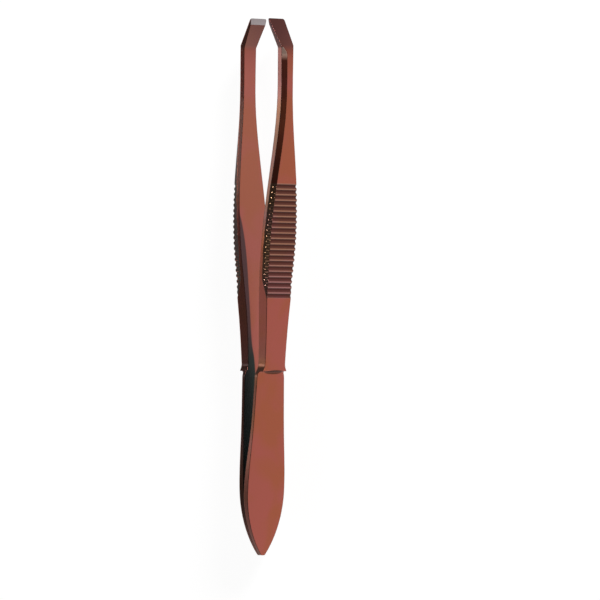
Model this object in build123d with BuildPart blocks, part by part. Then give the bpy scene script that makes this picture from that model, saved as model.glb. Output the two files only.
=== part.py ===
from build123d import *
from math import hypot
import os

# Claw-tip tweezers, lying on their side edges. Lengths are in millimetres.
# Each arm is one steel strip: a thin rolled spring tail, a thick middle, a grooved grip,
# a bevelled neck and a claw that is bent inwards and ground flat at its tip.
# The two arms are mirror images, welded face to face over the last stretch of the tail.

# Places along the tweezers, measured from the tail end
overall_length = 95.0
weld_length = 9.0
tail_widest_at = 11.5
tail_middle_at = 21.0
step_at = 32.6
waist_at = 34.0
grip_end_at = 45.2
grip_middle_at = 54.0
grip_start_at = 65.8
neck_at = 80.0
claw_length = 5.2
outer_claw_length = 6.0
facet_length = 1.1

# Widths of an arm, seen square to its outer face
nose_width = 0.9
tail_width = 9.95
tail_middle_width = 8.6
step_width = 7.35
waist_width = 5.45
grip_end_width = 6.5
grip_width = 7.55
grip_start_width = 6.3
neck_width = 3.25
bend_width = 3.2
tip_width = 4.25
nose_radius = 0.6
shoulder_run = 1.1
tip_corner_radius = 0.35

# Half of the gap between the two arms
tail_middle_gap = 0.74
step_gap = 1.15
grip_end_gap = 1.53
grip_middle_gap = 2.27
grip_start_gap = 3.26
neck_gap = 3.86
bend_gap = 3.88
facet_heel_gap = 2.13
tip_gap = 1.95

# Thickness of the strip, from the inner face to the outer face
nose_thickness = 0.42
tail_thickness = 0.85
spring_thickness = 0.62
step_thickness = 1.5
blade_thickness = 1.88
shoulder_thickness = 1.68
neck_thickness = 1.55
tip_thickness = 0.16
step_hollow_radius = 0.5
step_crown_radius = 0.2
inner_bend_radius = 1.2
outer_bend_radius = 3.0

# Bevel ground along both outer edges: width across the outer face and depth down the side edge
neck_bevel_width = 0.78
neck_bevel_depth = 0.65
grip_bevel_width = 0.25
grip_bevel_depth = 1.25
bevel_runout = 4.0
bevel_sections = 14

# Finger grooves, ground with a round-edged wheel across the outer face and down both bevels
groove_count = 21
groove_pitch = 0.965
groove_radius = 0.45
groove_depth = 0.14
first_groove_at = 46.0
groove_end_land = 0.3

half_height = tail_width / 2
tail_x = -overall_length / 2
bend_at = overall_length - claw_length
outer_bend_at = overall_length - outer_claw_length
clear_of_strip = 1.5

face_plane = Plane(origin=(tail_x, 0, half_height), x_dir=(1, 0, 0), z_dir=(0, -1, 0))
side_plane = Plane(origin=(tail_x, 0, half_height), x_dir=(1, 0, 0), z_dir=(0, 0, 1))


with BuildPart() as blank:
    # The strip seen from its side edge: inner face, claw, outer face, step and spring tail
    with BuildSketch(side_plane) as side_view:
        with BuildLine():
            Line((0, 0), (weld_length, 0))
            Spline(
                (weld_length, 0),
                (tail_middle_at, tail_middle_gap),
                (step_at, step_gap),
                (grip_end_at, grip_end_gap),
                (grip_middle_at, grip_middle_gap),
                (grip_start_at, grip_start_gap),
                (neck_at, neck_gap),
                (bend_at, bend_gap),
                tangents=[(1, 0), (1, 0)],
            )
            Polyline(
                (bend_at, bend_gap),
                (overall_length - facet_length, facet_heel_gap),
                (overall_length, tip_gap),
                (overall_length, tip_gap + tip_thickness),
                (outer_bend_at, bend_gap + neck_thickness),
            )
            outer_curve = Spline(
                (outer_bend_at, bend_gap + neck_thickness),
                (neck_at, neck_gap + neck_thickness),
                (grip_start_at, grip_start_gap + shoulder_thickness),
                (grip_middle_at, grip_middle_gap + blade_thickness),
                (grip_end_at, grip_end_gap + blade_thickness),
                (step_at, step_gap + step_thickness),
                tangents=[(-1, 0), (-1, -0.07)],
            )
            Line((step_at, step_gap + step_thickness), (step_at, step_gap + spring_thickness))
            Spline(
                (step_at, step_gap + spring_thickness),
                (tail_middle_at, tail_middle_gap + spring_thickness),
                (weld_length, tail_thickness),
                (0, nose_thickness),
            )
            Line((0, nose_thickness), (0, 0))
        make_face()
        inner_bend = side_view.vertices().sort_by_distance((bend_at, bend_gap))[0]
        fillet(inner_bend, inner_bend_radius)
        outer_bend = side_view.vertices().sort_by_distance((outer_bend_at, bend_gap + neck_thickness))[0]
        fillet(outer_bend, outer_bend_radius)
        step_foot = side_view.vertices().sort_by_distance((step_at, step_gap + spring_thickness))[0]
        fillet(step_foot, step_hollow_radius)
        step_crown = side_view.vertices().sort_by_distance((step_at, step_gap + step_thickness))[0]
        fillet(step_crown, step_crown_radius)
    extrude(amount=half_height, both=True)

    # The strip seen square to its outer face: leaf-shaped tail, shoulder, grip, neck and claw
    with BuildSketch(face_plane) as face_view:
        with BuildLine():
            Line((0, 0), (0, nose_width / 2))
            TangentArc((tail_widest_at, tail_width / 2), (0, nose_width / 2), tangent=(-1, 0))
            Spline(
                (tail_widest_at, tail_width / 2),
                (tail_middle_at, tail_middle_width / 2),
                (step_at - shoulder_run, step_width / 2),
                tangents=[(1, 0), (1, -0.05)],
            )
            Spline(
                (step_at - shoulder_run, step_width / 2),
                (waist_at, waist_width / 2),
                tangents=[(1, -0.05), (1, 0)],
            )
            edge_curve = Spline(
                (waist_at, waist_width / 2),
                (grip_end_at, grip_end_width / 2),
                (grip_middle_at, grip_width / 2),
                (grip_start_at, grip_start_width / 2),
                (neck_at, neck_width / 2),
                (bend_at, bend_width / 2),
                tangents=[(1, 0), (1, 0)],
            )
            Polyline(
                (bend_at, bend_width / 2),
                (overall_length, tip_width / 2),
                (overall_length, 0),
                (0, 0),
            )
        make_face()
        mirror(about=Plane.XZ)
        fillet(face_view.vertices().group_by(Axis.X)[0], nose_radius)
        fillet(face_view.vertices().group_by(Axis.X)[-1], tip_corner_radius)
    extrude(amount=overall_length, both=True, mode=Mode.INTERSECT)


def outer_corner(place):
    """The y of the outer face and the half width of the blank strip, at a place along it."""
    across_face = Axis((min(place, outer_bend_at), 0, 0), (0, 1, 0))
    across_edge = Axis((min(place, bend_at), 0, 0), (0, 1, 0))
    outer_y = outer_curve.find_intersection_points(across_face)[0].Y
    half_width = edge_curve.find_intersection_points(across_edge)[0].Y
    return outer_y, half_width


def ease(share):
    """A smooth rise from 0 to 1 for a share from 0 to 1."""
    share = min(max(share, 0), 1)
    return share * share * (3 - 2 * share)


def bevel_at(place):
    """Width and depth of the bevel: steep on the grip, even on the neck, nothing at the grip's end."""
    to_neck = ease((place - grip_middle_at) / (neck_at - grip_middle_at))
    width = grip_bevel_width + (neck_bevel_width - grip_bevel_width) * to_neck
    depth = grip_bevel_depth + (neck_bevel_depth - grip_bevel_depth) * to_neck
    growth = ease((place - grip_end_at) / bevel_runout)
    return width * growth, depth * growth


def bevel_slope(place):
    """The bevel's direction from the outer face to the side edge, as steps inwards and sideways."""
    width, depth = bevel_at(max(place, grip_end_at + bevel_runout))
    return depth / hypot(width, depth), width / hypot(width, depth)


with BuildPart() as bevel_stock:
    # What is ground away above the bevels, as right-angled sections along the strip
    for number in range(bevel_sections + 1):
        place = grip_end_at + (overall_length - grip_end_at) * number / bevel_sections
        outer_y, half_width = outer_corner(place)
        width, depth = bevel_at(place)
        inwards, sideways = bevel_slope(place)
        low = (outer_y - depth - clear_of_strip * inwards, half_width + clear_of_strip * sideways)
        high = (outer_y + clear_of_strip * inwards, half_width - width - clear_of_strip * sideways)
        with BuildSketch(Plane((tail_x + place, 0, half_height), x_dir=(0, 1, 0), z_dir=(1, 0, 0))):
            Polygon(low, high, (high[0], low[1]), align=None)
    loft(ruled=True)
    mirror(about=Plane.XY.offset(half_height))


with BuildPart() as groove_stock:
    # What the round-edged wheel takes out: up the lower bevel, across the face, down the upper one
    lift = groove_radius - groove_depth
    groove_half_chord = (groove_radius**2 - lift**2) ** 0.5
    for number in range(groove_count):
        place = first_groove_at + groove_pitch * number
        outer_y, half_width = outer_corner(place)
        width, depth = bevel_at(place)
        inwards, sideways = bevel_slope(place)
        run = hypot(width, depth) - groove_half_chord - groove_end_land
        if run > 0:
            # The wheel turns onto the bevel, follows it and lifts off at 45 degrees before its edge
            corner = (outer_y + lift, half_width - width + lift * (1 - sideways) / inwards)
            end_y = outer_y + lift * sideways - run * inwards
            end_z = half_width - width + lift * inwards + run * sideways
            clear = (end_y + groove_radius * (sideways - inwards), end_z + groove_radius * (sideways + inwards))
            upper_half = [corner, (end_y, end_z), clear]
        else:
            upper_half = [(outer_y + lift, half_width + clear_of_strip)]
        lower_half = [(y, -z) for y, z in reversed(upper_half)]
        with BuildLine(Plane((tail_x + place, 0, half_height), x_dir=(0, 1, 0), z_dir=(1, 0, 0))) as wheel_path:
            Polyline(*lower_half, *upper_half)
        with BuildSketch(Plane(wheel_path.line @ 0, z_dir=wheel_path.line % 0)):
            Circle(groove_radius)
        sweep(transition=Transition.RIGHT)


with BuildPart() as left_arm:
    add(blank.part)
    add(bevel_stock.part, mode=Mode.SUBTRACT)
    add(groove_stock.part, mode=Mode.SUBTRACT)

with BuildPart() as right_arm:
    mirror(left_arm.part, about=Plane.XZ)

left_arm.part.label = "left_arm"
right_arm.part.label = "right_arm"

os.makedirs("parts", exist_ok=True)
export_step(left_arm.part, "parts/left_arm.step")
export_step(right_arm.part, "parts/right_arm.step")
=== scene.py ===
import math

import bpy
from mathutils import Matrix, Vector


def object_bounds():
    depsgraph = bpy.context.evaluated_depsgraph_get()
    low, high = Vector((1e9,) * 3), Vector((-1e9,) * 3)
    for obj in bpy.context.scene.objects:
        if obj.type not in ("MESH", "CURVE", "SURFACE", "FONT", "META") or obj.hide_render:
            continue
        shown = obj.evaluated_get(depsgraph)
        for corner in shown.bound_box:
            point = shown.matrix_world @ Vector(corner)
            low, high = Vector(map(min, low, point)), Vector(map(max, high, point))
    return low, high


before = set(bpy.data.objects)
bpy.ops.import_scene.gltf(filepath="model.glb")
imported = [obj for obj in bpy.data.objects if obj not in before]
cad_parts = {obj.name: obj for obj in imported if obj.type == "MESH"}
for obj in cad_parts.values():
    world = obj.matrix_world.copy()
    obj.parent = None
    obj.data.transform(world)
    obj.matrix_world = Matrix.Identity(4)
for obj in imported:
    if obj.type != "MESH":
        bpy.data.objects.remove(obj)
cad_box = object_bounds()

# The camera looks down on the tweezers from the near arm's side, with the tips at the top of the
# picture. It stands far off with a long lens, so the two arms keep the same scale.
view_elevation = math.radians(50)
view_roll = 0.01155
view_width = 0.1062
target_along = -0.00224
target_across = 0.00636
camera_distance = 1.5
middle_height = (cad_box[0][2] + cad_box[1][2]) / 2
up_strip = Vector((1, 0, 0))
towards_camera = Vector((0, -math.cos(view_elevation), math.sin(view_elevation)))
across_strip = up_strip.cross(towards_camera)
picture_right = across_strip * math.cos(view_roll) + up_strip * math.sin(view_roll)
picture_up = up_strip * math.cos(view_roll) - across_strip * math.sin(view_roll)
target = Vector((target_along, 0, middle_height)) + across_strip * target_across
camera = bpy.data.objects.new("camera", bpy.data.cameras.new("camera"))
camera.data.sensor_fit = "HORIZONTAL"
camera.data.lens = camera.data.sensor_width * camera_distance / view_width
camera.data.clip_end = 10
turn = Matrix((picture_right, picture_up, towards_camera)).transposed()
camera.matrix_world = Matrix.Translation(target + towards_camera * camera_distance) @ turn.to_4x4()
bpy.context.scene.collection.objects.link(camera)
bpy.context.scene.camera = camera
bpy.context.scene.view_settings.view_transform = "Standard"


class Socket:
    """A node's output. Arithmetic on it adds Math nodes, and node() adds any other kind."""

    def __init__(self, tree, socket=None):
        self.tree = tree
        self.socket = socket

    def node(self, kind, settings=None, inputs=None, output=0):
        made = self.tree.nodes.new(kind)
        for name, value in (settings or {}).items():
            if name == "stops":
                elements = made.color_ramp.elements
                while len(elements) < len(value):
                    elements.new(1)
                for element, (position, colour) in zip(elements, value):
                    element.position = position
                    element.color = colour
            elif name == "curve":
                points = made.mapping.curves[0].points
                while len(points) < len(value):
                    points.new(0.5, 0.5)
                for point, position in zip(points, value):
                    point.location = position
                made.mapping.update()
            else:
                setattr(made, name, value)
        for name, value in (inputs or {}).items():
            if isinstance(value, Socket):
                self.tree.links.new(value.socket, made.inputs[name])
            else:
                made.inputs[name].default_value = value
        return Socket(self.tree, made.outputs[output] if len(made.outputs) else None)

    def math(self, operation, first, second=0.0):
        return self.node("ShaderNodeMath", {"operation": operation}, {0: first, 1: second})

    def __add__(self, other):
        return self.math("ADD", self, other)

    __radd__ = __add__

    def __sub__(self, other):
        return self.math("SUBTRACT", self, other)

    def __rsub__(self, other):
        return self.math("SUBTRACT", other, self)

    def __mul__(self, other):
        return self.math("MULTIPLY", self, other)

    __rmul__ = __mul__

    def __truediv__(self, other):
        return self.math("DIVIDE", self, other)

    def __abs__(self):
        return self.math("ABSOLUTE", self)

    def __gt__(self, other):
        return self.math("GREATER_THAN", self, other)

    def __lt__(self, other):
        return self.math("LESS_THAN", self, other)

    def axis(self, name):
        """The X, Y or Z of a vector."""
        return self.node("ShaderNodeSeparateXYZ", inputs={"Vector": self}, output=name)

    def ramp(self, start, end, low=0.0, high=1.0, shape="LINEAR"):
        """From low to high, as this value goes from start to end."""
        reach = {"Value": self, "From Min": start, "From Max": end, "To Min": low, "To Max": high}
        return self.node("ShaderNodeMapRange", {"interpolation_type": shape}, reach)

    def mix(self, first, second, share):
        """The first colour, with a share of the second in it."""
        return self.node("ShaderNodeMix", {"data_type": "RGBA"}, {0: share, 6: first, 7: second}, output=2)

    def tint(self, colour, shade, share):
        """The colour times a shade, over a share of the surface."""
        settings = {"data_type": "RGBA", "blend_type": "MULTIPLY"}
        return self.node("ShaderNodeMix", settings, {0: share, 6: colour, 7: shade}, output=2)


def shader(name):
    """A new material, with all its nodes cleared."""
    material = bpy.data.materials.new(name)
    material.use_nodes = True
    material.node_tree.nodes.clear()
    return material, Socket(material.node_tree)


# The two arms are strips of spring steel, polished and given a thin copper-brown coat, and welded
# together at the tail. They mirror each other and keep their CAD meshes, so one material dresses
# both. Its shades follow the photo, which can't tell the coat's own colour from what it mirrors.
coated_steel, wire = shader("coated_steel")
place = wire.node("ShaderNodeTexCoord", output="Object")
along = place.axis("X")
beside = place.axis("Y")
height = place.axis("Z") - middle_height
near_arm = beside < 0.0
far_arm = beside > 0.0

# How far a face points outwards across its arm (inwards is below zero), and how far up or down
normal = wire.node("ShaderNodeTexCoord", output="Normal")
outwards = wire.math("SIGN", beside)
facing = normal.axis("Y") * outwards
rising = abs(normal.axis("Z"))
outer_side = facing > 0.1
outer_face = outer_side * (rising < 0.3)
inner_face = facing < -0.5
side_edge = (abs(facing) < 0.1) * (rising > 0.3)
bevel = (facing > 0.15) * (rising > 0.3)

# The coat drifts slowly between rose and olive
rose_coat = (0.37, 0.09, 0.066, 1)
olive_coat = (0.35, 0.092, 0.046, 1)
drift = wire.node("ShaderNodeTexNoise", inputs={"Vector": place, "Scale": 110.0, "Detail": 2.0, "Distortion": 0.6})
coat = wire.mix(rose_coat, olive_coat, drift.ramp(0.4, 0.6))

# The flats inside the tips are ground after coating, so bare grey steel shows there
bare_steel = (0.62, 0.55, 0.56, 1)
facet_length = 0.0011
facet_heel = 0.00213
facet_tip = 0.00195
facet_margin = 0.00002
facet_start = cad_box[1][0] - facet_length
facet_slope = (facet_heel - facet_tip) / facet_length
ground = (along > facet_start) * (abs(beside) < facet_heel + facet_margin - (along - facet_start) * facet_slope)
colour = wire.mix(coat, bare_steel, ground)

# The grip's grooves get painted shade in their dark floors and painted highlights on pale ridges.
# The shades go from ridge to ridge.
groove_count = 21
groove_pitch = 0.000965
first_groove = cad_box[0][0] + 0.046
painted_groove_light_stops = [
    (0.0, (1.05, 2.0, 2.6, 1)),
    (0.08, (0.6, 0.8, 0.9, 1)),
    (0.2, (0.3, 0.28, 0.32, 1)),
    (0.5, (0.25, 0.23, 0.26, 1)),
    (0.6, (0.16, 0.1, 0.09, 1)),
    (0.8, (0.16, 0.1, 0.09, 1)),
    (0.9, (0.9, 1.6, 2.0, 1)),
    (1.0, (1.05, 2.0, 2.6, 1)),
]
grooved_bevel_painted_highlight = (1.0, 2.1, 2.3, 1)
turns = (along - first_groove) / groove_pitch + 0.5
in_grip = (turns > 0.0) * (turns < groove_count)
across_groove = wire.math("FRACT", turns)
painted_groove_light = wire.node("ShaderNodeValToRGB", {"stops": painted_groove_light_stops}, {"Fac": across_groove})
colour = wire.tint(colour, painted_groove_light, in_grip * outer_face)
# Painted highlight: the bevel along the grooves is tinted paler, where the groove ends catch light
colour = wire.tint(colour, grooved_bevel_painted_highlight, in_grip * bevel)

# Painted shade between the arms: between the tails the inner faces are painted nearly black, up
# to an edge that slants into the grip
painted_black_shade = (0.004, 0.012, 0.009, 1)
painted_brown_shade = (0.07, 0.025, 0.027, 1)
brown_start = -0.0125
brown_full = -0.007
slant_start = -0.02
slant_end = 0.013
slant_width = 0.004
slant_blur = (-0.0001, 0.00015)
slant = [(0, 0), (0.106, 0.16), (0.215, 0.26), (0.32, 0.44), (0.536, 0.54), (0.8, 0.6), (0.91, 0.71), (1, 0.9)]
slant_share = wire.node("ShaderNodeFloatCurve", {"curve": slant}, {"Value": along.ramp(slant_start, slant_end)})
past_slant = (abs(height) - slant_share * slant_width).ramp(*slant_blur)
painted_inside_shade = wire.mix(painted_black_shade, painted_brown_shade, along.ramp(brown_start, brown_full))
colour = wire.mix(colour, painted_inside_shade, inner_face * past_slant)

# Painted shade: a dull, lens-shaped dark patch at the foot of the step
step_painted_shade = (0.3, 0.32, 0.22, 1)
step_shade_place = -0.01505
step_shade_height = -0.0005
step_shade_half_length = 0.00042
step_shade_half_width = 0.0026
from_step = (along - step_shade_place) / step_shade_half_length
from_centre = (height - step_shade_height) / step_shade_half_width
in_step_shade = (from_step * from_step + from_centre * from_centre).ramp(1.0, 0.6)
colour = wire.tint(colour, step_painted_shade, outer_side * in_step_shade)

# The side edges get painted light: painted shade on the tail and painted highlight on the neck.
# On the far arm they stay plain from the grip on.
edge_start = -0.02
edge_end = 0.04
far_edge_end = 0.009
painted_edge_light_stops = [
    (0.0, (0.4, 0.55, 0.55, 1)),
    (0.092, (0.3, 0.42, 0.42, 1)),
    (0.12, (0.75, 1.05, 1.15, 1)),
    (0.2, (0.9, 1.0, 1.0, 1)),
    (0.46, (0.9, 1.0, 1.0, 1)),
    (0.53, (0.35, 0.6, 0.7, 1)),
    (0.78, (0.35, 0.6, 0.7, 1)),
    (0.9, (0.8, 1.4, 1.7, 1)),
]
painted_edge_light = wire.node("ShaderNodeValToRGB", {"stops": painted_edge_light_stops}, {"Fac": along.ramp(edge_start, edge_end)})
colour = wire.tint(colour, painted_edge_light, side_edge * wire.math("MAXIMUM", near_arm, along < far_edge_end))

# A painted highlight, a pale and less metallic glint, sits where the neck's bevel runs into the
# claw, and painted shade makes the claw a shade darker
painted_glint_colour = (1, 0.66, 0.52, 1)
glint_start = 0.04
glint_full = 0.0413
glint_end = 0.0424
claw_painted_shade = (0.62, 0.75, 0.85, 1)
claw_start = 0.0418
claw_full = 0.0428
glint = bevel * along.ramp(glint_start, glint_full) * (along < glint_end)
colour = wire.mix(colour, painted_glint_colour, glint)
colour = wire.tint(colour, claw_painted_shade, along.ramp(claw_start, claw_full) * (1 - ground))

# Fine polishing lines run along the strip, and sharp edges catch the light as if rounded. The
# shading of the side edges, inner faces, far bevel and glint leans to mirror what the photo shows.
line_scale = (300, 9000, 9000)
line_height = 0.00002
edge_radius = 0.00018
edge_lean = 0.08
far_bevel_lean = 0.7
glint_lean = 0.82
inner_lean = 0.17
lines = wire.node("ShaderNodeMapping", inputs={"Vector": place, "Scale": line_scale})
polish = wire.node("ShaderNodeTexNoise", inputs={"Vector": lines, "Scale": 1.0, "Detail": 3.0})
rounded = wire.node("ShaderNodeBevel", {"samples": 6}, {"Radius": edge_radius})
bump = wire.node(
    "ShaderNodeBump",
    inputs={"Strength": 0.04, "Distance": line_height, "Height": polish, "Normal": rounded},
)
sideways = outwards * -edge_lean - far_arm * bevel * far_bevel_lean + near_arm * glint * glint_lean
lean = wire.node("ShaderNodeCombineXYZ", inputs={"Y": sideways, "Z": inner_face * -inner_lean})
leaning = wire.node("ShaderNodeVectorMath", {"operation": "ADD"}, {0: bump, 1: lean})
steel = wire.node(
    "ShaderNodeBsdfPrincipled",
    inputs={
        "Base Color": colour,
        "Metallic": 1 - glint,
        "Roughness": 0.2 + polish * 0.08 + ground * 0.25,
        "Coat Weight": 0.08 + rising * 0.3,
        "Coat Roughness": 0.08,
        "Normal": wire.node("ShaderNodeVectorMath", {"operation": "NORMALIZE"}, {0: leaning}),
    },
)
wire.node("ShaderNodeOutputMaterial", inputs={"Surface": steel})
for node in ("left_arm", "right_arm"):
    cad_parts[node].material_slots[0].material = coated_steel

# The stage is a white paper floor, and the camera's own rays see it plain white. The steel
# mirrors only what lies behind a line just in front of it, and less of that past the tips.
reach = 1.5
grey_paper = (0.2, 0.2, 0.2, 1)
seen_white = 0.93
mirrored_white = 0.86
floor_mesh = bpy.data.meshes.new("floor")
corners = [(-reach, -reach, 0), (reach, -reach, 0), (reach, reach, 0), (-reach, reach, 0)]
floor_mesh.from_pydata(corners, [], [(0, 1, 2, 3)])
floor = bpy.data.objects.new("floor", floor_mesh)
bpy.context.scene.collection.objects.link(floor)
paper, wire = shader("paper")
seen = wire.node("ShaderNodeLightPath", output="Is Camera Ray")
mirrored = wire.node("ShaderNodeLightPath", output="Is Glossy Ray")
spot = wire.node("ShaderNodeTexCoord", output="Object")
behind_line = spot.axis("Y").ramp(-0.02, -0.014, shape="SMOOTHSTEP")
past_tips = spot.axis("X").ramp(0.036, 0.052, low=1.0, high=0.3, shape="SMOOTHSTEP")
glow = seen * seen_white + mirrored * behind_line * past_tips * mirrored_white
matt = wire.node("ShaderNodeBsdfDiffuse", inputs={"Color": grey_paper})
shining = wire.node("ShaderNodeEmission", inputs={"Strength": glow})
both = wire.node("ShaderNodeAddShader", inputs={0: matt, 1: shining})
wire.node("ShaderNodeOutputMaterial", inputs={"Surface": both})
floor_mesh.materials.append(paper)


# Two soft boxes light the steel: a weak one from behind, and one beyond the tips for the claws.
# They are rectangular area lamps that face the middle of the tweezers.
def softbox(name, position, width, height, power):
    lamp = bpy.data.lights.new(name, "AREA")
    lamp.shape = "RECTANGLE"
    lamp.size = width
    lamp.size_y = height
    lamp.energy = power
    holder = bpy.data.objects.new(name, lamp)
    holder.location = position
    holder.rotation_euler = Vector(position).to_track_quat("Z", "Y").to_euler()
    bpy.context.scene.collection.objects.link(holder)


softbox("back_box", (0.22, 0.75, 0.6), width=0.3, height=0.4, power=0.7)
softbox("tip_box", (0.61, -0.7, 0.37), width=0.3, height=0.3, power=8)

# The room is bright low behind the tweezers and dark round the camera, and dimmer past the tips.
# The camera's own rays see it plain white.
world = bpy.data.worlds.new("room")
bpy.context.scene.world = world
world.use_nodes = True
world.node_tree.nodes.clear()
wire = Socket(world.node_tree)
seen = wire.node("ShaderNodeLightPath", output="Is Camera Ray")
heading = wire.node("ShaderNodeTexCoord", output="Generated")
facing_camera = wire.node(
    "ShaderNodeVectorMath", {"operation": "DOT_PRODUCT"}, {0: heading, 1: tuple(towards_camera)}, output="Value"
)
backdrop = facing_camera.ramp(-0.25, 0.35, low=0.9, high=0.05, shape="SMOOTHSTEP")
tip_side = heading.axis("X").ramp(0.3, 0.55, low=1.0, high=0.4, shape="SMOOTHSTEP")
strength = backdrop * tip_side * (1 - seen) + seen
room = wire.node("ShaderNodeBackground", inputs={"Color": (1, 1, 1, 1), "Strength": strength})
wire.node("ShaderNodeOutputWorld", inputs={"Surface": room})
